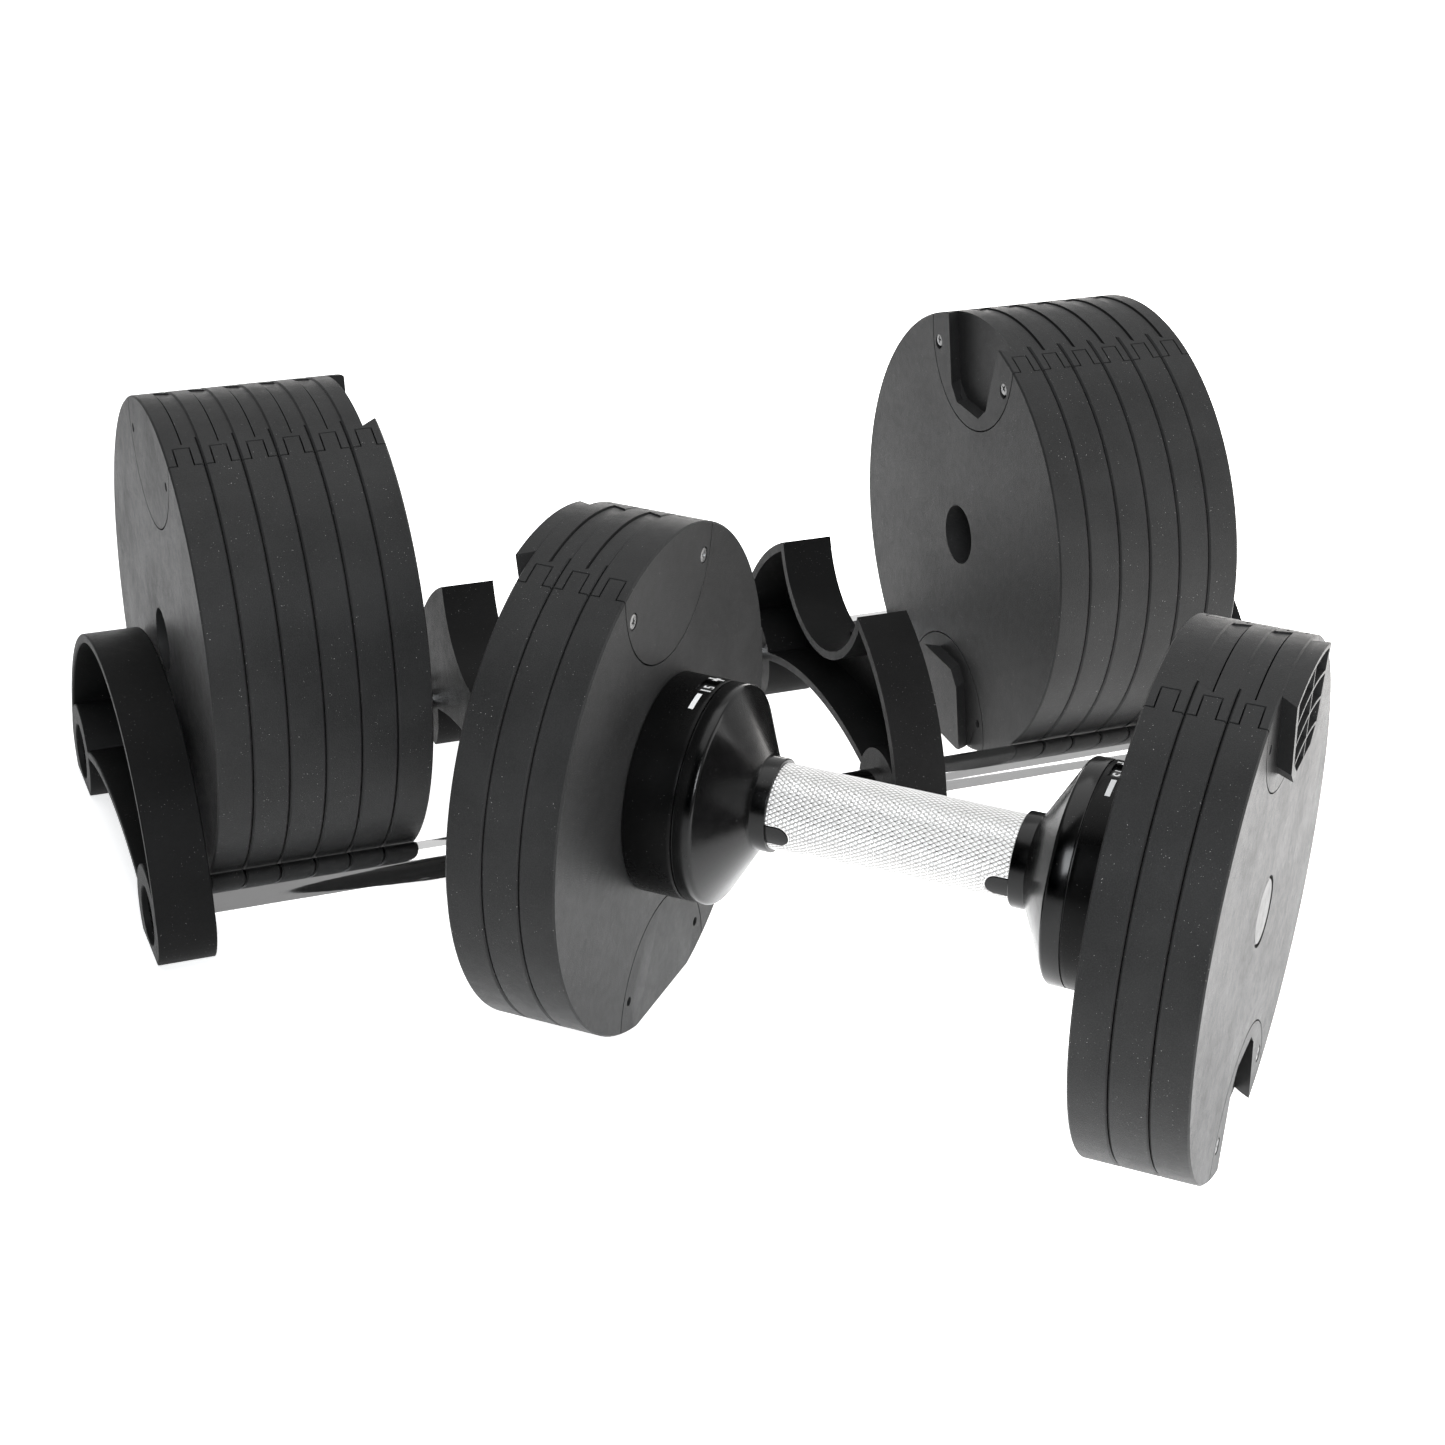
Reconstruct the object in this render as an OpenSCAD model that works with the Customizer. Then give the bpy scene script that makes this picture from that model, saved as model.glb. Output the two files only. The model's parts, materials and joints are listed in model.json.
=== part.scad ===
// Adjustable dumbbell with a twist grip, standing in front of its storage cradle.
// +X runs along the cradle, +Y to its back and +Z up. The origin is on the floor, under the
// middle of the whole set. Each end of the set has nine plates: the first three are on the
// dumbbell, and the other six wait in the cradle.

/* [Plates] */
// Diameter of every plate
plate_d = 180; // [179:0.5:181]
// Distance from one plate's inner face to the next one's
pitch = 13; // [12.9:0.05:13.2]
// Gap between neighbouring plates
plate_gap = 0.4; // [0.3:0.05:0.5]
// Bore that the lock bar passes through
bore_d = 24; // [24:0.1:25]
// Distance from the axis to the flat foot of a plate
flat_h = 86.5; // [86:0.1:87]

/* [Inserts] */
// Radius of an insert's two flanges
flange_r = 36; // [35.5:0.1:36.5]
// Distance from the plate's axis to the flanges' centre
flange_z = 83.5; // [83:0.1:84]
// Thickness of one flange
flange_t = 3.1; // [3:0.1:3.3]
// Seam between an insert and its disc
seam = 0.5; // [0.3:0.05:0.55]
// How far a dovetail tongue stands proud of the plate's face
tongue_proud = 5.6; // [5.4:0.1:5.7]
// Half of the tongue's width at the plate's rim
tongue_half_w = 22.3; // [21.5:0.1:22.5]
// How much wider the tongue gets on each side, away from the face
tongue_flare = 3.9; // [3.5:0.1:4]

/* [Handle] */
// Distance from the middle of the handle to the face of the first plate
head_x = 84.8; // [84.7:0.1:85]
// Diameter of the knurled grip
grip_d = 29.5; // [29.5:0.1:29.8]
// Diameter of the fixed collars and of the cones' rims
collar_d = 76.6; // [76:0.2:77]
// Turn of the grip that adds one plate to each end
click_angle = 36; // [36]

/* [Cradle] */
// Width of one bracket along the cradle
bracket_w = 21.2; // [21:0.1:21.3]
// Radius of a bracket's arch, centred on the floor
arch_r = 87; // [86:0.5:88]
// Diameter of the rails
rail_d = 22; // [21.8:0.1:22]
// Distance from the cradle's middle plane to a rail
rail_y = 67; // [66.5:0.1:67.5]
// Height of the rails' axes
rail_z = 13.5; // [13.4:0.1:13.6]
// Radius of the saddle that the collar drops into
saddle_r = 40; // [39.5:0.5:40.5]

/* [Dumbbell's place] */
// Distance of the dumbbell in front of the cradle's middle
park_front = 214.4; // [214:1:260]
// Distance of the dumbbell to the right of the cradle's middle
park_side = 1; // [-5:0.5:5]
// Turn of the dumbbell about the vertical, its right end to the front
park_turn = 43.4; // [43:0.2:46]

/* [Hidden] */
$fn = 96;
plates = 9;
loaded = 3;
plate_r = plate_d / 2;
plate_t = pitch - plate_gap;
edge = 0.6;
fit = 0.65;
stack_x = head_x + loaded * pitch;

// Plate axis over the cradle, 0.3 clear of the rails, and the cradle's place behind the origin
cradle_z = rail_z + sqrt(pow(plate_r + rail_d / 2 + 0.3, 2) - pow(rail_y, 2));
front_reach = sin(park_turn) * (stack_x - plate_gap - edge) + cos(park_turn) * plate_r;
cradle_y = (park_front + front_reach - plate_r) / 2;

// Rib of the disc that the insert straddles
rib_r = 28.3;
rib_z = 80;

// Tongue outline: its shoulders are at the foot, and it widens by tongue_taper towards the rim
tongue_foot_z = 54.5;
shoulder_z = 60;
tongue_taper = 0.242;
tip_half_w = 9;
core_top = 88;
core_pitch = 8.2;
core_rib = 1;
core_side = 1;
core_deep = 3.4;

// Insert screws
screw_y = 29.5;
screw_z = 72.5;
screw_head_r = 2.8;
screw_r = 1.6;
screw_head_t = 1.5;

// Handle, from the inside out
bar_r = 8.1;
core_r = 10.3;
core_in_r = 8.4;
core_half = 71.5;
sleeve_in_r = core_r + 0.06;
sleeve_half = 61.5;
grip_r = grip_d / 2;
grip_in_r = 13.2;
grip_half = 47;
ring_r = 16.3;
ring_x = 42.5;
cone_x = 48.4;
rim_x = 60.5;
seam_x = 66.6;
collar_r = collar_d / 2;
collar_x = 67.1;
collar_wall = 2.5;
rim_wall = 1;
rim_end = 75.6;
dial_r = collar_r - rim_wall - 0.4;
dial_x = 75;
hub_r = 13.6;
hub_x = 62;
tip_len = 12;
tip_r = bore_d / 2 - 0.35;
tip_x = head_x + loaded * pitch - plate_gap - 0.2;
drive_pin_x = 20;
drive_pin_r = 2;
groove_r = 12.5;
groove_w = 5.6;
lead = pitch * 360 / click_angle;
slot_in = drive_pin_x - (plates - loaded) * pitch - 3;
slot_out = drive_pin_x + loaded * pitch + 3;
key_turn = 105;
key_w = 7.4;
key_end_x = 34.5;

// Lock pin under each collar
lock_x = 79.6;
lock_r = 2;
lock_tip = 39.1;
lock_head_r = 3.1;
chamber_r = 3.5;
chamber_z = 30;
chamber_top = 17;

// Cradle
band_t = 3.4;
web_t = 3.4;
under_r = 151;
under_top = 27;
foot_r = 19;
inner_x = 62.6;
end_x = stack_x + (plates - loaded) * pitch + 2.6;
rail_half = end_x + bracket_w - 2;
rail_wall = 1.5;

SIDES = [["left", -1], ["right", 1]];

// ---- placing ----

module on_side(s) {
    if (s < 0) mirror([1, 0, 0]) children();
    else children();
}

module at_dumbbell() {
    translate([park_side, cradle_y - park_front, flat_h]) rotate([0, 0, -park_turn]) children();
}

module at_cradle() {
    translate([0, cradle_y, 0]) children();
}

// Plates up to the loaded count ride on the dumbbell, and the others hang in the cradle
module at_plate(s, n) {
    x = head_x + (n - 1) * pitch;
    if (n <= loaded) at_dumbbell() on_side(s) translate([x, 0, 0]) children();
    else at_cradle() on_side(s) translate([x, 0, cradle_z]) children();
}

// ---- round shapes about the X axis ----

module x_rod(r, x0, x1) {
    translate([x0, 0, 0]) rotate([0, 90, 0]) cylinder(r = r, h = x1 - x0);
}

module x_tube(r_out, r_in, x0, x1) {
    difference() {
        x_rod(r_out, x0, x1);
        x_rod(r_in, x0 - 1, x1 + 1);
    }
}

// A turned shape: each point is [x, radius]
module x_turned(points) {
    rotate([0, 90, 0]) rotate_extrude() polygon([for (p = points) [p[1], p[0]]]);
}

// A flat outline in Y and Z, drawn out along X
module x_prism(points, x0, x1) {
    translate([x0, 0, 0]) rotate([90, 0, 90]) linear_extrude(height = x1 - x0) polygon(points);
}

// ---- plates ----

module wheel(hole_r) {
    x_turned([[0, hole_r], [0, plate_r - edge], [edge, plate_r],
              [plate_t - edge, plate_r], [plate_t, plate_r - edge], [plate_t, hole_r]]);
}

module below_foot() {
    translate([-tongue_proud - 1, -plate_r, -plate_r - 10])
        cube([plate_t + tongue_proud + 2, plate_d, plate_r + 10 - flat_h]);
}

// The room of one insert in the disc, widened by grow: a rib is left between its two flanges
module insert_room(grow) {
    translate([0, 0, flange_z]) {
        x_rod(flange_r + grow, -1, flange_t + grow);
        x_rod(flange_r + grow, plate_t - flange_t - grow, plate_t + 1);
    }
    translate([0, 0, rib_z]) x_rod(rib_r + grow, -1, plate_t + 1);
}

// Turns an upper insert's shape into the lower insert's
module as_lower() {
    translate([plate_t, 0, 0]) rotate([0, 180, 0]) children();
}

module screw_holes(r) {
    for (y = [-screw_y, screw_y]) translate([0, y, screw_z]) x_rod(r, -1, plate_t + 1);
}

module plate_disc() {
    color([0.13, 0.13, 0.135]) difference() {
        wheel(bore_d / 2);
        insert_room(seam);
        as_lower() insert_room(seam);
        screw_holes(screw_r + 0.1);
        mirror([0, 0, 1]) screw_holes(screw_r + 0.1);
        below_foot();
    }
}

// ---- dovetail inserts ----

function half_w(z) = tongue_half_w + (z - plate_r) * tongue_taper;

function tongue_outline(side, drop) = let (z = shoulder_z - drop, foot = tongue_foot_z - drop) [
    [-half_w(plate_r + 4) - side, plate_r + 4], [-half_w(z) - side, z],
    [-tip_half_w - side, foot], [tip_half_w + side, foot],
    [half_w(z) + side, z], [half_w(plate_r + 4) + side, plate_r + 4]];

// A dovetail from x0 to x1 that flares away from the plane x = 0, widened all round by grow
module dovetail(x0, x1, grow) {
    slope = tongue_flare / tongue_proud;
    hull() {
        x_prism(tongue_outline(x0 * slope + grow, grow), x0, x0 + 0.01);
        x_prism(tongue_outline(x1 * slope + grow, grow), x1 - 0.01, x1);
    }
}

// Pockets that lighten the tongue, between one upright rib and ribs that follow the rim
module tongue_core() {
    x0 = tongue_proud - core_deep;
    x1 = tongue_proud + 2;
    intersection() {
        difference() {
            x_prism(tongue_outline(core_side, -2.5), x0, x1);
            translate([x0 - 1, -core_rib / 2, 0]) cube([x1 - x0 + 2, core_rib, plate_d]);
            for (k = [1:3]) x_tube(core_top - k * core_pitch + core_rib, core_top - k * core_pitch, x0 - 1, x1 + 1);
        }
        x_rod(core_top, x0 - 1, x1 + 1);
    }
}

// The upper insert: a slot in the inner face takes the last plate's tongue
module insert(has_slot, has_tongue, cored) {
    difference() {
        union() {
            intersection() {
                wheel(0.1);
                insert_room(0);
            }
            if (has_tongue) intersection() {
                translate([plate_t, 0, 0]) difference() {
                    dovetail(-1, tongue_proud, 0);
                    if (cored) tongue_core();
                }
                x_rod(plate_r - edge, 0, plate_t + tongue_proud);
            }
        }
        if (has_slot) translate([-plate_gap, 0, 0]) dovetail(-1, tongue_proud + fit, fit);
        screw_holes(screw_r + 0.1);
        for (y = [-screw_y, screw_y])
            translate([0, y, screw_z]) x_rod(screw_head_r + 0.15, -1, screw_head_t + 0.2);
    }
}

module plate_inserts(n) {
    color([0.15, 0.15, 0.155]) {
        insert(n > 1, n < plates, true);
        difference() {
            as_lower() insert(n < plates, n > 1, false);
            below_foot();
        }
    }
}

module screw_pair() {
    for (y = [-screw_y, screw_y]) translate([0, y, screw_z]) {
        x_rod(screw_head_r, 0.2, 0.2 + screw_head_t);
        x_rod(screw_r, screw_head_t, plate_t - 0.8);
    }
}

// The screws of the plates on the dumbbell
module insert_screws() {
    color([0.3, 0.3, 0.3]) for (s = [-1, 1]) for (n = [1:loaded]) at_plate(s, n) {
        screw_pair();
        as_lower() screw_pair();
    }
}

// ---- grip: everything that turns ----

// Outline of a key or its slot, seen along the radius: a tongue with a round end at end_x
module key_shape(w, end_x, r0, r1) {
    for (turn = [key_turn, key_turn - 180]) rotate([turn, 0, 0]) intersection() {
        union() {
            translate([end_x + w / 2, 0, r0]) cylinder(d = w, h = r1 - r0 + 2);
            translate([end_x + w / 2, -w / 2, r0]) cube([grip_half - end_x, w, r1 - r0 + 2]);
        }
        x_tube(r1, r0, end_x - 1, grip_half + 5);
    }
}

module grip_sleeve() {
    color([0.85, 0.85, 0.86]) difference() {
        x_tube(grip_r, grip_in_r, -grip_half, grip_half);
        for (s = [-1, 1]) on_side(s) key_shape(key_w + 0.4, key_end_x - 0.2, grip_in_r - 1, grip_r + 1);
    }
}

// A helical groove along the sleeve's bore: it passes the angle start (0 is the bottom) at x_pin
module helix_groove(x_pin, start, hand) {
    long = 2 * sleeve_half + 2;
    per_mm = hand * 360 / lead;
    translate([-long / 2, 0, 0]) rotate([0, 90, 0]) rotate([0, 0, start - (long / 2 + x_pin) * per_mm])
        linear_extrude(height = long, twist = -long * per_mm, slices = 72, $fn = 12)
            translate([sleeve_in_r - 1, -groove_w / 2]) square([groove_r - sleeve_in_r + 1, groove_w]);
}

module drive_sleeve() {
    color([0.75, 0.76, 0.72]) difference() {
        x_tube(grip_in_r, sleeve_in_r, -sleeve_half, sleeve_half);
        helix_groove(drive_pin_x, 180, 1);
        helix_groove(-drive_pin_x, 0, -1);
    }
}

module cone() {
    color([0.06, 0.06, 0.065]) {
        x_turned([
            [ring_x + 0.6, grip_r], [ring_x, grip_r + 0.6], [ring_x, ring_r - 0.5],
            [ring_x + 0.5, ring_r], [cone_x - 0.6, ring_r], [cone_x, ring_r + 0.7],
            [rim_x - 0.7, collar_r - 0.9], [rim_x + 0.4, collar_r], [seam_x, collar_r],
            [seam_x, 29.5], [seam_x - 2.2, 29.5], [seam_x - 2.2, collar_r - 3.4],
            [rim_x + 1, collar_r - 3.4], [cone_x + 4.4, grip_in_r + 0.8],
            [cone_x + 4.4, grip_in_r], [grip_half, grip_in_r], [grip_half, grip_r]]);
        key_shape(key_w, key_end_x, grip_in_r, grip_r + 0.35);
    }
}

module dial() {
    color([0.05, 0.05, 0.05]) difference() {
        x_turned([[seam_x, 14.6], [seam_x, dial_r], [dial_x, dial_r], [dial_x, dial_r - 1.8],
                  [seam_x + 1.8, dial_r - 1.8], [seam_x + 1.8, 14.6]]);
        // Notches that mark the ten settings
        for (k = [0:9]) rotate([k * click_angle + click_angle / 2, 0, 0])
            translate([dial_x - 1.4, -1.2, 30]) cube([3, 2.4, 9]);
    }
}

// ---- fixed core of the handle ----

module core_tube() {
    color([0.6, 0.61, 0.63]) difference() {
        x_tube(core_r, core_in_r, -core_half, core_half);
        translate([slot_in, -drive_pin_r - 0.4, 0]) cube([slot_out - slot_in, 2 * drive_pin_r + 0.8, core_r + 1]);
        translate([-slot_out, -drive_pin_r - 0.4, -core_r - 1])
            cube([slot_out - slot_in, 2 * drive_pin_r + 0.8, core_r + 1]);
        hub_pin_rods();
    }
}

module hub_pin_rods() {
    for (s = [-1, 1]) for (turn = [-1, 1])
        translate([s * 67, 0, 0]) rotate([turn * 90, 0, 0])
            translate([0, 0, core_in_r + 0.1]) cylinder(r = 1.5, h = hub_r - core_in_r - 0.1);
}

module hub_pins() {
    color([0.7, 0.7, 0.7]) hub_pin_rods();
}

module collar() {
    color([0.08, 0.08, 0.085]) difference() {
        union() {
            x_turned([
                [collar_x, collar_r - rim_wall], [collar_x, collar_r], [head_x - 0.6, collar_r],
                [head_x - 0.2, collar_r - 0.4], [head_x - 0.2, bore_d / 2], [core_half + 0.3, bore_d / 2],
                [core_half + 0.3, core_r], [hub_x, core_r], [hub_x, hub_r],
                [head_x - 2.8, hub_r], [head_x - 2.8, collar_r - collar_wall],
                [rim_end, collar_r - collar_wall], [rim_end, collar_r - rim_wall]]);
            // Column that holds the lock pin and its spring
            translate([lock_x, 0, -collar_r + 1]) cylinder(r = chamber_r + 0.8, h = collar_r - hub_r);
        }
        translate([lock_x, 0, -collar_r - 2]) cylinder(r = lock_r + 0.06, h = 12);
        translate([lock_x, 0, -chamber_z]) cylinder(r = chamber_r, h = chamber_z - chamber_top);
        // Window over the dial
        translate([68.6, -2.4, 30]) cube([5.6, 10, 12]);
        hub_pin_rods();
    }
}

// ---- lock bars and pins ----

// The left bar is the upper half and the right bar the lower half, so that they pass each other
module bar(s) {
    inner_x = drive_pin_x + 6;
    color([0.1, 0.1, 0.1]) rotate([s > 0 ? 180 : 0, 0, 0]) mirror([s > 0 ? 1 : 0, 0, 0]) {
        difference() {
            x_rod(bar_r, -tip_x + 1, inner_x);
            translate([-tip_x + tip_len, -20, -40 + 0.2]) cube([tip_x + 60, 40, 40]);
        }
        x_turned([[-tip_x, 0], [-tip_x, tip_r - 1], [-tip_x + 1, tip_r],
                  [-tip_x + tip_len, tip_r], [-tip_x + tip_len, 0]]);
        translate([drive_pin_x, 0, bar_r - 3]) cylinder(r = drive_pin_r, h = groove_r - 0.5 - bar_r + 3);
    }
}

module lock_pin() {
    color([0.75, 0.76, 0.78]) translate([lock_x, 0, 0]) {
        translate([0, 0, -lock_tip + 0.8]) cylinder(r = lock_r, h = lock_tip - 0.8 - 26);
        translate([0, 0, -lock_tip]) cylinder(r1 = lock_r - 0.8, r2 = lock_r, h = 0.8);
        translate([0, 0, -chamber_z + 0.05]) cylinder(r = lock_head_r, h = 1.6);
    }
}

module lock_spring() {
    from = -chamber_z + 1.75;
    long = chamber_z - 1.75 - chamber_top - 0.1;
    color([0.8, 0.8, 0.8]) translate([lock_x, 0, from])
        linear_extrude(height = long, twist = -360 * 5, slices = 90, $fn = 8)
            translate([2.6, 0]) circle(r = 0.42);
}

// ---- cradle ----

// The arch between the feet, shrunk by inset; saddle cuts the seat for the collar
module arch(inset, saddle, x0, x1) {
    difference() {
        x_rod(arch_r - inset, x0, x1);
        translate([x0 - 1, -arch_r - 1, -arch_r]) cube([x1 - x0 + 2, 2 * arch_r + 2, arch_r + rail_z]);
        translate([0, 0, under_top - under_r]) x_rod(under_r + inset, x0 - 1, x1 + 1);
        if (saddle) translate([0, 0, cradle_z]) x_rod(saddle_r + inset, x0 - 1, x1 + 1);
    }
}

// A round foot about each rail, cut flat at the floor
module feet() {
    for (y = [-rail_y, rail_y]) difference() {
        translate([0, y, rail_z]) x_rod(foot_r, 0, bracket_w);
        translate([-1, y - foot_r - 1, -foot_r]) cube([bracket_w + 2, 2 * foot_r + 2, foot_r]);
    }
}

// A shell that is open towards +X
module bracket(saddle) {
    color([0.09, 0.09, 0.095]) difference() {
        union() {
            difference() {
                arch(0, saddle, 0, bracket_w);
                arch(band_t, saddle, web_t, bracket_w + 1);
            }
            feet();
        }
        for (y = [-rail_y, rail_y]) translate([0, y, rail_z]) x_rod(rail_d / 2, -1, bracket_w + 1);
    }
}

module end_bracket(s) {
    at_cradle() on_side(s) translate([end_x, 0, 0]) bracket(false);
}

// The inner bracket is open towards the cradle's middle, and its peg frees the lock pin
module inner_bracket(s) {
    at_cradle() on_side(s) {
        translate([inner_x + bracket_w, 0, 0]) mirror([1, 0, 0]) bracket(true);
        color([0.09, 0.09, 0.095]) translate([lock_x, 0, cradle_z - saddle_r - 2]) cylinder(r = 1.9, h = 5);
    }
}

module rail(y) {
    color([0.88, 0.88, 0.9]) at_cradle() translate([0, y, rail_z])
        x_tube(rail_d / 2, rail_d / 2 - rail_wall, -rail_half, rail_half);
}

// ---- drawing ----

for (s = SIDES) for (n = [1:plates]) {
    at_plate(s[1], n) plate_disc();
    at_plate(s[1], n) plate_inserts(n);
}
for (s = SIDES) {
    at_dumbbell() on_side(s[1]) cone();
    at_dumbbell() on_side(s[1]) dial();
    at_dumbbell() on_side(s[1]) collar();
    at_dumbbell() bar(s[1]);
    at_dumbbell() on_side(s[1]) lock_pin();
    at_dumbbell() on_side(s[1]) lock_spring();
    end_bracket(s[1]);
    inner_bracket(s[1]);
}
at_dumbbell() grip_sleeve();
at_dumbbell() drive_sleeve();
at_dumbbell() core_tube();
at_dumbbell() hub_pins();
insert_screws();
rail(-rail_y);  // front_rail
rail(rail_y);  // rear_rail
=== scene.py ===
"""Looks for the adjustable dumbbell and its cradle. Metres, in the CAD's frame."""

import json
import math

import bpy
from mathutils import Matrix, Vector


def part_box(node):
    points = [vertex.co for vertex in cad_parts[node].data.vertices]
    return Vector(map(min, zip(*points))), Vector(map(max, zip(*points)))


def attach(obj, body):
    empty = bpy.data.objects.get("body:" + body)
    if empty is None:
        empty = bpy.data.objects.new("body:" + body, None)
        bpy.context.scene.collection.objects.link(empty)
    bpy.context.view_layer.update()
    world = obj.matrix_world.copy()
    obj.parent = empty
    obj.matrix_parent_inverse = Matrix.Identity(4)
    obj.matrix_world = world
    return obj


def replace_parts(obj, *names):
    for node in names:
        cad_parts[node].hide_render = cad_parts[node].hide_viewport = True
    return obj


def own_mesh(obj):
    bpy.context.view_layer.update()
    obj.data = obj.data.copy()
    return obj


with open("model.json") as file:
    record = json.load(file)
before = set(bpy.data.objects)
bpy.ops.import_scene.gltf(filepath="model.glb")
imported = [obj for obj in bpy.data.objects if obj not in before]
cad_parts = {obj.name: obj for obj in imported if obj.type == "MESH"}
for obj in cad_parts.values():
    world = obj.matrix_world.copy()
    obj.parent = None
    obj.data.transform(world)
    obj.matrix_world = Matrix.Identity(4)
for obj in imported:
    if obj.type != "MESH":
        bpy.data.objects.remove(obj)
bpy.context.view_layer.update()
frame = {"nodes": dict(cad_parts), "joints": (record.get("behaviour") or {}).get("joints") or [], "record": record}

MM = 0.001
NODES = frame["nodes"]
SIDES = {"left": -1, "right": 1}
PLATES = 9
LOADED = 3

# ---- places, from the CAD's own nodes ----


def middle(*names):
    """Centre of the box round some CAD nodes."""
    boxes = [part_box(n) for n in names]
    lo = Vector([min(b[0][i] for b in boxes) for i in range(3)])
    hi = Vector([max(b[1][i] for b in boxes) for i in range(3)])
    return (lo + hi) / 2


handle = middle("grip_sleeve")
turn_joint = next(j for j in frame["joints"] if j["name"] == "grip_turn")
along = Vector(turn_joint["axis"]).normalized()
handle_turn = math.atan2(along.y, along.x)
HANDLE = Matrix.Translation(handle) @ Matrix.Rotation(handle_turn, 4, "Z")
rail = middle("front_rail", "rear_rail")
stack_axis = Vector((0.0, rail.y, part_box("left_plate_9")[0].z + 0.0865))

HEAD_X, PITCH, PLATE_T = 84.8, 13.0, 12.6


def plate_place(side, n):
    """Turns a plate's own frame, in millimetres from its inner face, into the row's."""
    base = HANDLE if n <= LOADED else Matrix.Translation(stack_axis)
    mirror = Matrix.Diagonal((side, 1, 1, 1))
    shift = Matrix.Translation(Vector((HEAD_X + (n - 1) * PITCH, 0, 0)) * MM)
    return base @ mirror @ shift


def plate_body(side_name, n):
    return "dumbbell" if n <= LOADED else f"{side_name}_weight_{n}"


# ---- materials ----


class Nodes:
    """Short calls for one material's node tree."""

    def __init__(self, name):
        self.material = bpy.data.materials.new(name)
        self.material.use_nodes = True
        self.tree = self.material.node_tree
        self.shader = self.tree.nodes["Principled BSDF"]
        coordinates = self.tree.nodes.new("ShaderNodeTexCoord")
        self.place = coordinates.outputs["Object"]

    def node(self, kind, inputs=None, **settings):
        made = self.tree.nodes.new(kind)
        for key, value in settings.items():
            setattr(made, key, value)
        for key, value in (inputs or {}).items():
            if isinstance(value, bpy.types.NodeSocket):
                self.tree.links.new(value, made.inputs[key])
            else:
                made.inputs[key].default_value = value
        return made

    def noise(self, scale, detail=4.0, roughness=0.55, vector=None):
        inputs = {"Vector": vector or self.place, "Scale": scale, "Detail": detail, "Roughness": roughness}
        return self.node("ShaderNodeTexNoise", inputs).outputs["Fac"]

    def spread(self, value, from_low, from_high, to_low, to_high):
        inputs = {
            "Value": value,
            "From Min": from_low,
            "From Max": from_high,
            "To Min": to_low,
            "To Max": to_high,
        }
        return self.node("ShaderNodeMapRange", inputs, clamp=True).outputs["Result"]

    def mix(self, fac, a, b):
        made = self.node("ShaderNodeMix", data_type="RGBA")
        for socket, value in ((0, fac), (6, a), (7, b)):
            if isinstance(value, bpy.types.NodeSocket):
                self.tree.links.new(value, made.inputs[socket])
            else:
                made.inputs[socket].default_value = value
        return made.outputs[2]

    def maths(self, operation, a, b=0.0):
        made = self.node("ShaderNodeMath", operation=operation)
        for socket, value in ((0, a), (1, b)):
            if isinstance(value, bpy.types.NodeSocket):
                self.tree.links.new(value, made.inputs[socket])
            else:
                made.inputs[socket].default_value = value
        return made.outputs[0]

    def bump(self, height, strength, distance, under=None):
        inputs = {"Height": height, "Strength": strength, "Distance": distance}
        if under is not None:
            inputs["Normal"] = under
        return self.node("ShaderNodeBump", inputs).outputs["Normal"]

    def put(self, name, value):
        if isinstance(value, bpy.types.NodeSocket):
            self.tree.links.new(value, self.shader.inputs[name])
        else:
            self.shader.inputs[name].default_value = value


def grey(value, warm=0.0):
    return (value * (1 + warm), value, value * (1 - warm), 1)


def coated(name, base, rough, grain, dust, warm=0.0, grain_scale=2600.0, coat=0.0, specular=0.5):
    """A dark coating or moulded plastic: fine grain, slow blotches in its sheen, and a few dust specks."""
    m = Nodes(name)
    blotch = m.noise(38.0, 5.0)
    fine = m.noise(grain_scale, 2.0)
    wear = m.noise(260.0, 6.0, 0.65)
    shade = m.mix(m.spread(blotch, 0.35, 0.68, 0.0, 1.0), grey(base * 0.86, warm), grey(base * 1.16, warm))
    shade = m.mix(m.spread(fine, 0.4, 0.7, 0.0, 0.35), shade, grey(base * 1.7, warm))
    specks = m.noise(1900.0, 1.0)
    patches = m.noise(90.0, 3.0)
    flecks = m.spread(specks, 0.74, 0.78, 0.0, dust)
    dusty = m.spread(patches, 0.45, 0.6, 0.0, 1.0)
    speck = m.maths("MULTIPLY", flecks, dusty)
    m.put("Base Color", m.mix(speck, shade, grey(0.42, 0.02)))
    slow = m.spread(blotch, 0.3, 0.7, rough - 0.04, rough + 0.05)
    rub = m.spread(wear, 0.4, 0.75, -0.02, 0.06)
    m.put("Roughness", m.maths("ADD", slow, rub))
    m.put("Specular IOR Level", specular)
    m.put("Coat Weight", coat)
    m.put("Coat Roughness", 0.12)
    m.put("Normal", m.bump(fine, grain, 0.0002, m.bump(wear, grain * 0.25, 0.0004)))
    return m.material


def metal(name, base, rough, streak, warm=0.0, smear=0.03):
    """Bare or plated metal: slow changes in its polish, and hairlines along X."""
    m = Nodes(name)
    stretch = m.node("ShaderNodeMapping", {"Vector": m.place, "Scale": (0.03, 1.0, 1.0)}).outputs[0]
    lines = m.noise(2400.0, 3.0, 0.6, stretch)
    blotch = m.noise(70.0, 5.0)
    shade = m.mix(m.spread(blotch, 0.35, 0.7, 0.0, 1.0), grey(base, warm), grey(base * 0.93, warm))
    m.put("Base Color", m.mix(m.spread(lines, 0.55, 0.8, 0.0, 0.3), shade, grey(base * 0.8, warm)))
    m.put("Metallic", 1.0)
    polish = m.spread(blotch, 0.3, 0.75, rough, rough + smear)
    hairlines = m.spread(lines, 0.4, 0.8, 0.0, streak)
    m.put("Roughness", m.maths("ADD", polish, hairlines))
    m.put("Normal", m.bump(lines, streak * 1.2, 0.0001))
    return m.material


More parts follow.
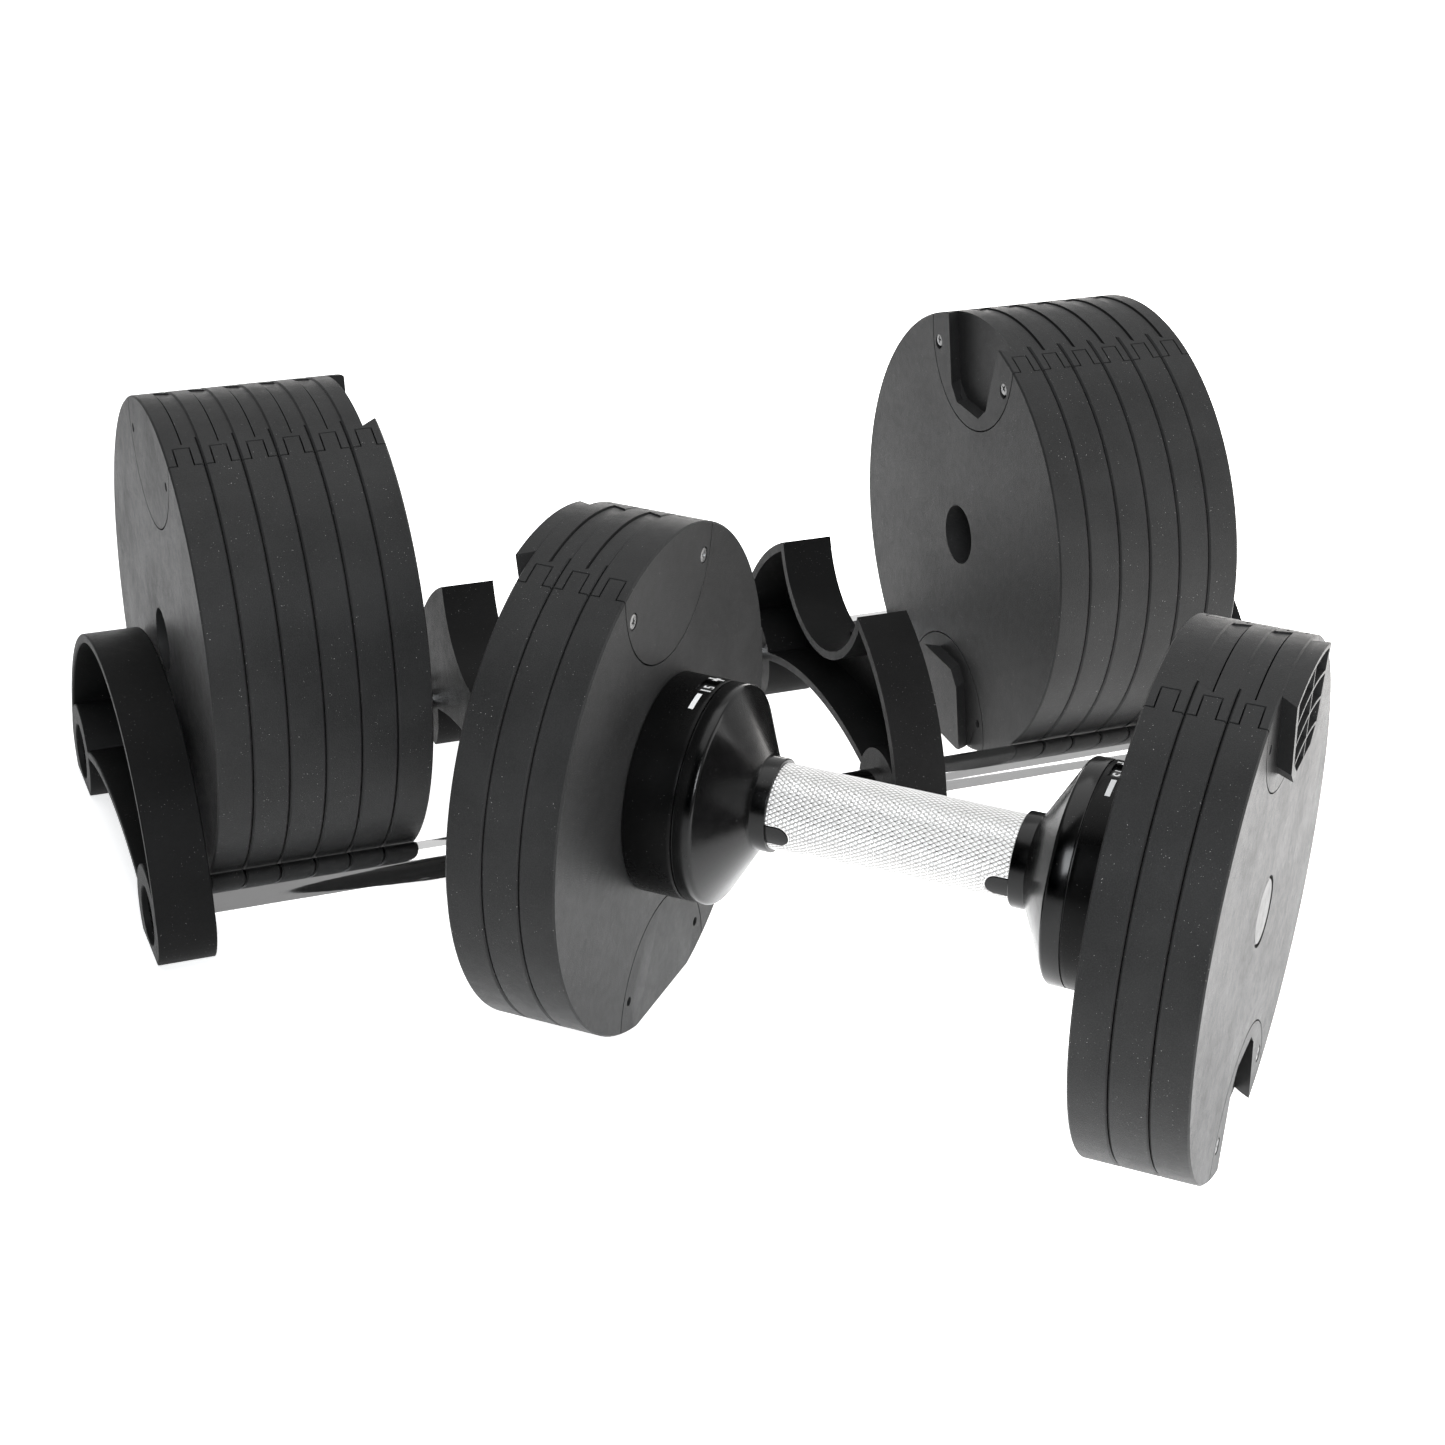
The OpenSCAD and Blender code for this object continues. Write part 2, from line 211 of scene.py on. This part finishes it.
def knurled_chrome():
    """Chrome with painted shade in the grooves of its knurl, the shade mottled at random."""
    m = Nodes("knurled_chrome")
    rise = m.node("ShaderNodeAttribute", attribute_name="rise").outputs["Fac"]
    mottle = m.noise(700.0, 5.0)
    wear = m.noise(90.0, 4.0)
    # Painted shade: where rise is low, in the grooves, the colour is a dark brown-grey mottled at random, while
    # the crests stay near white.
    groove = m.mix(m.spread(mottle, 0.35, 0.65, 0.0, 1.0), grey(0.1, 0.09), grey(0.22, 0.07))
    crest = m.mix(m.spread(wear, 0.35, 0.65, 0.0, 1.0), grey(0.96, 0.005), grey(0.9, 0.01))
    m.put("Base Color", m.mix(m.spread(rise, 0.1, 0.5, 0.0, 1.0), groove, crest))
    m.put("Metallic", 0.45)
    m.put("Roughness", m.spread(wear, 0.3, 0.7, 0.36, 0.44))
    m.put("Normal", m.bump(mottle, 0.08, 0.0001))
    return m.material


def printed(name):
    """White print: slightly uneven ink."""
    m = Nodes(name)
    ink = m.noise(1500.0, 3.0)
    m.put("Base Color", m.mix(m.spread(ink, 0.35, 0.75, 0.0, 1.0), grey(0.92), grey(0.84)))
    m.put("Roughness", m.spread(ink, 0.3, 0.8, 0.4, 0.55))
    m.put("Normal", m.bump(ink, 0.05, 0.0001))
    return m.material


FINISHES = {
    "plate_coating": coated("plate_coating", 0.026, 0.38, 0.6, 0.8, 0.0, specular=0.09),
    "insert_plastic": coated("insert_plastic", 0.027, 0.4, 0.5, 0.6, 0.0, specular=0.09),
    "cradle_plastic": coated("cradle_plastic", 0.009, 0.44, 0.4, 0.4, 0.0, 3200.0, specular=0.06),
    "collar_black": coated("collar_black", 0.003, 0.3, 0.1, 0.3, 0.0, 3600.0, 0.0, 0.1),
    "bar_black": coated("bar_black", 0.016, 0.3, 0.2, 0.4, 0.0, specular=0.2),
    "dial_black": coated("dial_black", 0.012, 0.34, 0.1, 0.2, 0.0, 3600.0),
    "gloss_black": coated("gloss_black", 0.004, 0.2, 0.03, 0.25, 0.0, 3000.0, 0.0, 0.3),
    "grip_chrome": metal("grip_chrome", 0.93, 0.09, 0.06, 0.01),
    "rail_chrome": metal("rail_chrome", 0.86, 0.04, 0.03, 0.0),
    "steel": metal("steel", 0.58, 0.26, 0.14, 0.0, 0.08),
    "screw_steel": metal("screw_steel", 0.22, 0.32, 0.08, 0.0, 0.1),
}
WHITE_PRINT = printed("white_print")

slots = {s["node"]: s["material_slot"] for s in frame["record"]["subparts"]}
for name, node in NODES.items():
    node.data.materials.clear()
    node.data.materials.append(FINISHES[slots[name]])

# ---- smooth shading and soft edges on the CAD's parts ----


def smoothing(angle):
    """A node group that joins a CAD mesh's faces and shades it smooth, but for edges sharper than angle."""
    group = bpy.data.node_groups.new("smoothing", "GeometryNodeTree")
    group.interface.new_socket("Geometry", in_out="INPUT", socket_type="NodeSocketGeometry")
    group.interface.new_socket("Geometry", in_out="OUTPUT", socket_type="NodeSocketGeometry")
    start, end = group.nodes.new("NodeGroupInput"), group.nodes.new("NodeGroupOutput")
    merge = group.nodes.new("GeometryNodeMergeByDistance")
    merge.inputs["Distance"].default_value = 2e-6
    faces = group.nodes.new("GeometryNodeSetShadeSmooth")
    edges = group.nodes.new("GeometryNodeSetShadeSmooth")
    edges.domain = "EDGE"
    edges.inputs["Shade Smooth"].default_value = False
    bend = group.nodes.new("GeometryNodeInputMeshEdgeAngle")
    over = group.nodes.new("FunctionNodeCompare")
    over.data_type = "FLOAT"
    over.operation = "GREATER_THAN"
    over.inputs[1].default_value = math.radians(angle)
    group.links.new(start.outputs[0], merge.inputs["Geometry"])
    group.links.new(merge.outputs["Geometry"], faces.inputs["Geometry"])
    group.links.new(faces.outputs["Geometry"], edges.inputs["Geometry"])
    group.links.new(bend.outputs["Unsigned Angle"], over.inputs[0])
    group.links.new(over.outputs["Result"], edges.inputs["Selection"])
    group.links.new(edges.outputs["Geometry"], end.inputs[0])
    return group


SMOOTHING = smoothing(28.0)
for name, node in NODES.items():
    pinned = node.data.attributes.get("custom_normal")
    if pinned is not None:
        node.data.attributes.remove(pinned)
    node.modifiers.new("smoothing", "NODES").node_group = SMOOTHING


def soften(name, width, segments=1, limit=50.0):
    modifier = NODES[name].modifiers.new("edge", "BEVEL")
    modifier.width = width * MM
    modifier.segments = segments
    modifier.limit_method = "ANGLE"
    modifier.angle_limit = math.radians(limit)
    modifier.use_clamp_overlap = True


for side_name in SIDES:
    soften(f"{side_name}_end_bracket", 1.2, 3, 38.0)
    soften(f"{side_name}_inner_bracket", 1.2, 3, 38.0)
    for n in range(1, PLATES + 1):
        soften(f"{side_name}_plate_{n}", 0.35)
        soften(f"{side_name}_inserts_{n}", 0.35)

# ---- pieces ----


def piece(name, vertices, faces, body, material, place=Matrix.Identity(4), smooth=None):
    """A new mesh from points in millimetres, riding a CAD body."""
    mesh = bpy.data.meshes.new(name)
    mesh.from_pydata([place @ (Vector(v) * MM) for v in vertices], [], faces)
    mesh.materials.append(material)
    mesh.update()
    made = bpy.data.objects.new(name, mesh)
    bpy.context.scene.collection.objects.link(made)
    if smooth is not None:
        mesh.shade_smooth()
        mesh.set_sharp_from_angle(angle=math.radians(smooth))
    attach(made, body)
    return made


def lathe(profile, steps):
    """Vertices and faces of [x, radius] points turned about X."""
    vertices, faces = [], []
    for x, r in profile:
        for k in range(steps):
            a = 2 * math.pi * k / steps
            vertices.append((x, r * math.sin(a), r * math.cos(a)))
    for i in range(len(profile) - 1):
        for k in range(steps):
            a, b = i * steps + k, i * steps + (k + 1) % steps
            faces.append((a, b, b + steps, a + steps))
    return vertices, faces


# Knurled skin: pyramids that stand on the chrome sleeve, left out over the keys and bare at the ends
GRIP_R, KNURL_HALF, KNURL_DEEP = 14.75, 45.6, 0.26
KEY_TURN, KEY_HALF_W, KEY_END_X = 105.0, 3.9, 34.3


def on_key(x, angle):
    """True over a key's slot. The angle is from the top towards the back, in degrees."""
    for centre in (-KEY_TURN, 180.0 - KEY_TURN):
        away = (angle - centre + 180.0) % 360.0 - 180.0
        across = abs(math.radians(away)) * GRIP_R
        if across < KEY_HALF_W + 0.25:
            start = KEY_END_X + KEY_HALF_W - math.sqrt(max((KEY_HALF_W + 0.25) ** 2 - across**2, 0.0))
            if abs(x) > start:
                return True
    return False


def knurl(starts=56, per=7):
    """Diamonds from two crossing families of grooves."""
    round_steps = starts * per
    heights = []
    cell = 2 * math.pi * GRIP_R / starts
    rows = int(2 * KNURL_HALF / (cell / per))
    vertices, faces = [], []
    for i in range(rows + 1):
        x = -KNURL_HALF + 2 * KNURL_HALF * i / rows
        fade = min(1.0, (KNURL_HALF - abs(x)) / 1.2)
        for k in range(round_steps):
            turn = k / per
            run = x / cell
            one = abs(((turn + run * 0.62) % 1.0) * 2 - 1)
            two = abs(((turn - run * 0.62) % 1.0) * 2 - 1)
            up = min(1.0, 1.55 * (1 - max(one, two)))
            r = GRIP_R - 0.03 + KNURL_DEEP * up * fade
            heights.append(up * fade)
            a = 2 * math.pi * k / round_steps
            vertices.append((x, r * math.sin(a), r * math.cos(a)))
    for i in range(rows):
        x = -KNURL_HALF + 2 * KNURL_HALF * (i + 0.5) / rows
        for k in range(round_steps):
            if on_key(x, 360.0 * (k + 0.5) / round_steps):
                continue
            a, b = i * round_steps + k, i * round_steps + (k + 1) % round_steps
            faces.append((a, b, b + round_steps, a + round_steps))
    return vertices, faces, heights


points, quads, heights = knurl()
knurled = piece("grip_knurl", points, quads, "grip", knurled_chrome(), HANDLE)
knurled.data.attributes.new("rise", "FLOAT", "POINT").data.foreach_set("value", heights)

# Finely turned skins over the coarser facets of the CAD's round parts
SKIN = 0.03


def skin(name, profile, body, slot_name, side=1, place=HANDLE, steps=160, gap=None, smooth=30.0):
    """A thin turned surface. gap(x, turn) says where it is open, with turn in degrees from the top."""
    vertices, faces = lathe([(x, r + SKIN) for x, r in profile], steps)
    if gap is not None:
        kept = []
        for f in faces:
            xs = [vertices[i][0] for i in f]
            turns = [math.degrees(math.atan2(vertices[i][1], vertices[i][2])) for i in f]
            if not gap(sum(xs) / 4, sum(turns) / 4):
                kept.append(f)
        faces = kept
    vertices = [(side * x, y, z) for x, y, z in vertices]
    return piece(name, vertices, faces, body, FINISHES[slot_name], place, smooth)


CONE = [
    (42.47, 14.9), (42.5, 15.8), (42.58, 16.1), (42.75, 16.25), (43.0, 16.3), (47.8, 16.3), (48.2, 16.55),
    (48.4, 17.0), (59.6, 37.15), (59.9, 37.6), (60.3, 38.0), (60.7, 38.22), (61.2, 38.3), (66.3, 38.3),
    (66.5, 38.2), (66.58, 38.0), (66.6, 36.5),
]
COLLAR = [
    (67.07, 37.6), (67.09, 38.05), (67.2, 38.23), (67.4, 38.3), (68.6, 38.3), (74.2, 38.3), (84.0, 38.3),
    (84.35, 38.2), (84.55, 37.95), (84.62, 37.6), (84.62, 31.0),
]
WINDOW_X, WINDOW_TURN, COLLAR_R = (68.6, 74.2), (-2.4, 7.65), 38.3


def in_window(x, turn):
    """True inside the collar's window."""
    across = math.radians(turn) * COLLAR_R
    return WINDOW_X[0] < x < WINDOW_X[1] and WINDOW_TURN[0] < across < WINDOW_TURN[1]


for side_name, side in SIDES.items():
    skin(f"{side_name}_cone_skin", CONE, "grip", "gloss_black", side)
    skin(f"{side_name}_collar_skin", COLLAR, "dumbbell", "collar_black", side, steps=468, gap=in_window)
RAIL_R = 11.0
for rail_name in ("front_rail", "rear_rail"):
    rail_place = Matrix.Translation(middle(rail_name))
    for number, (x0, x1) in enumerate(((-204.3, -83.9), (-62.5, 62.5), (83.9, 204.3))):
        steps = [(x0 + (x1 - x0) * k / 4, RAIL_R) for k in range(5)]
        skin(f"{rail_name}_skin_{number}", steps, "cradle", "rail_chrome", 1, rail_place, 96)


# Screws: pan heads with a cross recess, on every insert
SCREW_Y, SCREW_Z = 29.5, 72.5


def screw_head(steps=28):
    """A head at the origin that points to -X, with a cross cut in its face."""
    profile = [(1.6, 2.8), (0.55, 2.8), (0.2, 2.45)]
    vertices, faces = lathe(profile, steps)
    ring = len(vertices) - steps
    inner = len(vertices)
    for k in range(steps):
        a = 2 * math.pi * k / steps
        vertices.append((0.12, 1.9 * math.sin(a), 1.9 * math.cos(a)))
    for k in range(steps):
        faces.append((ring + k, ring + (k + 1) % steps, inner + (k + 1) % steps, inner + k))
    # The cross, as a 12-sided hole with a floor
    arm, half = 1.45, 0.38
    outline = [
        (-half, arm), (half, arm), (half, half), (arm, half), (arm, -half), (half, -half),
        (half, -arm), (-half, -arm), (-half, -half), (-arm, -half), (-arm, half), (-half, half),
    ]
    start = len(vertices)
    vertices += [(0.1, y, z) for y, z in outline]
    floor = len(vertices)
    vertices += [(1.1, y * 0.7, z * 0.7) for y, z in outline]
    count = len(outline)
    for k in range(count):
        faces.append((start + k, start + (k + 1) % count, floor + (k + 1) % count, floor + k))
    faces.append(tuple(floor + k for k in range(count)))

    def outline_near(k):
        y, z = vertices[inner + k][1], vertices[inner + k][2]
        return min(range(count), key=lambda j: (outline[j][0] - y) ** 2 + (outline[j][1] - z) ** 2)

    for k in range(steps):
        here, there = outline_near(k), outline_near((k + 1) % steps)
        following = inner + (k + 1) % steps
        faces.append((inner + k, following, start + here))
        while here != there:
            step = 1 if (there - here) % count < count / 2 else -1
            ahead = (here + step) % count
            faces.append((start + here, following, start + ahead))
            here = ahead
    return vertices, faces


HEAD_V, HEAD_F = screw_head()


def screw_set(name, body, plates):
    """Four screws for each (side, plate) of one body."""
    vertices, faces = [], []
    for side, n in plates:
        place = plate_place(side, n)
        for lower in (False, True):
            for y in (-SCREW_Y, SCREW_Y):
                spin = Matrix.Rotation(math.radians(37.0 * n + y + 50 * lower), 4, "X")
                spot = Matrix.Translation((0, y * MM, SCREW_Z * MM)) @ spin
                if lower:
                    flip = Matrix.Translation((PLATE_T * MM, 0, 0)) @ Matrix.Rotation(math.pi, 4, "Y")
                    spot = flip @ spot
                start = len(vertices)
                vertices += [place @ spot @ (Vector(v) * MM) / MM for v in HEAD_V]
                faces += [tuple(start + i for i in f) for f in HEAD_F]
    return piece(name, vertices, faces, body, FINISHES["screw_steel"], smooth=30.0)


loaded_plates = [(s, n) for s in SIDES.values() for n in range(1, LOADED + 1)]
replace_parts(screw_set("dumbbell_screws", "dumbbell", loaded_plates), "insert_screws")
for side_name, side in SIDES.items():
    for n in range(LOADED + 1, PLATES + 1):
        screw_set(f"{side_name}_screws_{n}", plate_body(side_name, n), [(side, n)])


# White print wrapped on the dial and the collar
DIAL_R = 36.9


def wrapped(name, flat, faces, radius, side, body):
    """Flat print, as (along X, round) points in millimetres, laid on a cylinder about the handle's axis."""
    vertices = []
    for x, turn in flat:
        a = turn / radius
        vertices.append((side * x, (radius + 0.04) * math.sin(a), (radius + 0.04) * math.cos(a)))
    return piece(name, vertices, faces, body, WHITE_PRINT, HANDLE)


def text_mesh(body_text, height):
    """A filled figure, centred, as points and faces in millimetres."""
    curve = bpy.data.curves.new("figure", "FONT")
    curve.body = body_text
    curve.size = 1.0
    curve.align_x = "CENTER"
    curve.resolution_u = 4
    curve.offset = 0.022
    curve.space_character = 1.18
    figure = bpy.data.objects.new("figure", curve)
    bpy.context.scene.collection.objects.link(figure)
    bpy.context.view_layer.update()
    mesh = bpy.data.meshes.new_from_object(figure.evaluated_get(bpy.context.evaluated_depsgraph_get()))
    points = [(v.co.x, v.co.y) for v in mesh.vertices]
    faces = [tuple(p.vertices) for p in mesh.polygons]
    bpy.data.objects.remove(figure)
    bpy.data.meshes.remove(mesh)
    top = max(p[1] for p in points)
    bottom = min(p[1] for p in points)
    scale = height / (top - bottom)
    centre = (min(p[0] for p in points) + max(p[0] for p in points)) / 2
    return [((x - centre) * scale, (y - (top + bottom) / 2) * scale) for x, y in points], faces


def bar_grid(x0, x1, t0, t1, steps=10):
    """A rectangle in (along, round), cut across so that it bends."""
    flat, faces = [], []
    for k in range(steps + 1):
        t = t0 + (t1 - t0) * k / steps
        flat += [(x0, t), (x1, t)]
    for k in range(steps):
        faces.append((2 * k, 2 * k + 1, 2 * k + 3, 2 * k + 2))
    return flat, faces


# The count of plates at one end sets the figure: a 3 kg handle, and two 2 kg plates a click
CLICK, LABEL_X, LABEL_TURN, FIGURE_HEIGHT = 36.0, 71.3, 2.9, 4.0
HANDLE_KG, KG_A_CLICK = 3, 4
for side_name, side in SIDES.items():
    for count in range(0, PLATES + 1):
        flat, faces = text_mesh(str(HANDLE_KG + KG_A_CLICK * count), FIGURE_HEIGHT)
        turn = math.radians((LOADED - count) * CLICK) * DIAL_R
        placed = [(LABEL_X + y, turn + LABEL_TURN - side * x) for x, y in flat]
        wrapped(f"{side_name}_figure_{count}", placed, faces, DIAL_R, side, "grip")
    flat, faces = bar_grid(70.5, 72.3, -12.6, -4.2)
    wrapped(f"{side_name}_minus", flat, faces, COLLAR_R, side, "dumbbell")
    flat, faces = bar_grid(70.5, 72.1, 8.2, 13.0)
    more, more_faces = bar_grid(68.6, 74.2, 9.8, 11.4)
    faces += [tuple(i + len(flat) for i in f) for f in more_faces]
    wrapped(f"{side_name}_plus", flat + more, faces, COLLAR_R, side, "dumbbell")

# The lock springs ride on their pins, and are pressed together as the pins go up; here each gets a mesh of its
# own.
for side_name in SIDES:
    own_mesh(NODES[f"{side_name}_lock_spring"])

# ---- stage, lights and camera ----

ROOM_FRONT, ROOM_BACK, ROOM_SIDES = 0.25, 0.65, (-0.45, 0.35)
bpy.ops.mesh.primitive_plane_add(size=14, location=(0, 1.5, -0.0002))
floor = bpy.context.object
floor.name = "floor"
glowing_paper = Nodes("glowing_paper")
tooth = glowing_paper.noise(900.0, 3.0)
glowing_paper.put("Base Color", glowing_paper.mix(glowing_paper.spread(tooth, 0.3, 0.7, 0.0, 1.0), grey(0.93), grey(0.95)))
glowing_paper.put("Roughness", 0.6)
glowing_paper.put("Specular IOR Level", 0.2)
across = glowing_paper.node("ShaderNodeSeparateXYZ", {"Vector": glowing_paper.place}).outputs["X"]
# Painted light: the floor glows, weakly at the left and about nine times stronger and a little warmer at the
# right, so it lights the parts and shows in their faces.
glowing_paper.put("Emission Color", glowing_paper.mix(glowing_paper.spread(across, 0.0, 0.6, 0.0, 1.0), grey(1.0), grey(0.97, 0.03)))
glowing_paper.put("Emission Strength", glowing_paper.spread(across, -0.3, 0.7, 0.36, 3.3))
floor.data.materials.append(glowing_paper.material)

world = bpy.data.worlds.new("studio")
bpy.context.scene.world = world
world.use_nodes = True
studio = world.node_tree
background = studio.nodes["Background"]
background.inputs["Color"].default_value = (1.0, 1.0, 1.0, 1.0)


def world_node(kind, *values, **settings):
    made = studio.nodes.new(kind)
    for key, value in settings.items():
        setattr(made, key, value)
    for index, value in enumerate(values):
        if isinstance(value, bpy.types.NodeSocket):
            studio.links.new(value, made.inputs[index])
        else:
            made.inputs[index].default_value = value
    return made


# A white cyclorama behind and beside the set, and a dim room behind the camera
way = world_node("ShaderNodeSeparateXYZ", world_node("ShaderNodeTexCoord").outputs["Generated"]).outputs
ease = {"interpolation_type": "SMOOTHSTEP"}
behind = world_node("ShaderNodeMapRange", way[1], -0.35, 0.5, ROOM_FRONT, ROOM_BACK, **ease)
beside = world_node("ShaderNodeMapRange", way[0], -0.7, 0.8, *ROOM_SIDES, **ease)
glow = world_node("ShaderNodeMath", behind.outputs[0], beside.outputs[0], operation="ADD")
studio.links.new(glow.outputs[0], background.inputs["Strength"])


def softbox(name, location, target, size, power, tint=(1.0, 1.0, 1.0)):
    light = bpy.data.lights.new(name, "AREA")
    light.color = tint
    light.shape = "RECTANGLE"
    light.size, light.size_y = size
    light.energy = power
    lamp = bpy.data.objects.new(name, light)
    bpy.context.scene.collection.objects.link(lamp)
    lamp.location = location
    lamp.rotation_mode = "QUATERNION"
    lamp.rotation_quaternion = (Vector(target) - Vector(location)).to_track_quat("-Z", "Y")
    return lamp


softbox("top", (0.0, 0.3, 1.7), (0, 0, 0), (1.8, 1.4), 12)
softbox("right", (1.5, -0.9, 0.8), (0, 0, 0.1), (1.4, 1.2), 12)
softbox("front", (-0.7, -1.6, 1.3), (0, 0, 0.1), (1.0, 0.8), 30, (0.94, 0.97, 1.0))

camera_data = bpy.data.cameras.new("camera")
camera = bpy.data.objects.new("camera", camera_data)
bpy.context.scene.collection.objects.link(camera)
camera_data.sensor_width = 36
camera_data.lens = 70.85
camera_data.shift_x = -0.0269
camera_data.shift_y = 0.0547
camera_data.clip_start = 0.05
CAMERA_X, CAMERA_FROM_RAIL, CAMERA_Z = -0.3637, -0.9589, 0.5494
PITCH_DOWN, HEADING, ROLL = math.radians(28.71), math.radians(22.88), math.radians(2.16)
forward = Vector(
    (
        math.cos(PITCH_DOWN) * math.sin(HEADING),
        math.cos(PITCH_DOWN) * math.cos(HEADING),
        -math.sin(PITCH_DOWN),
    )
)
level = Vector((math.cos(HEADING), -math.sin(HEADING), 0))
upright = level.cross(forward)
right = math.cos(ROLL) * level + math.sin(ROLL) * upright
up = -math.sin(ROLL) * level + math.cos(ROLL) * upright
aim = Matrix((right, up, -forward)).transposed().to_4x4()
camera.matrix_world = Matrix.Translation(Vector((CAMERA_X, rail.y + CAMERA_FROM_RAIL, CAMERA_Z))) @ aim
bpy.context.scene.camera = camera
bpy.context.scene.view_settings.view_transform = "Standard"
bpy.context.scene.view_settings.exposure = 0.0
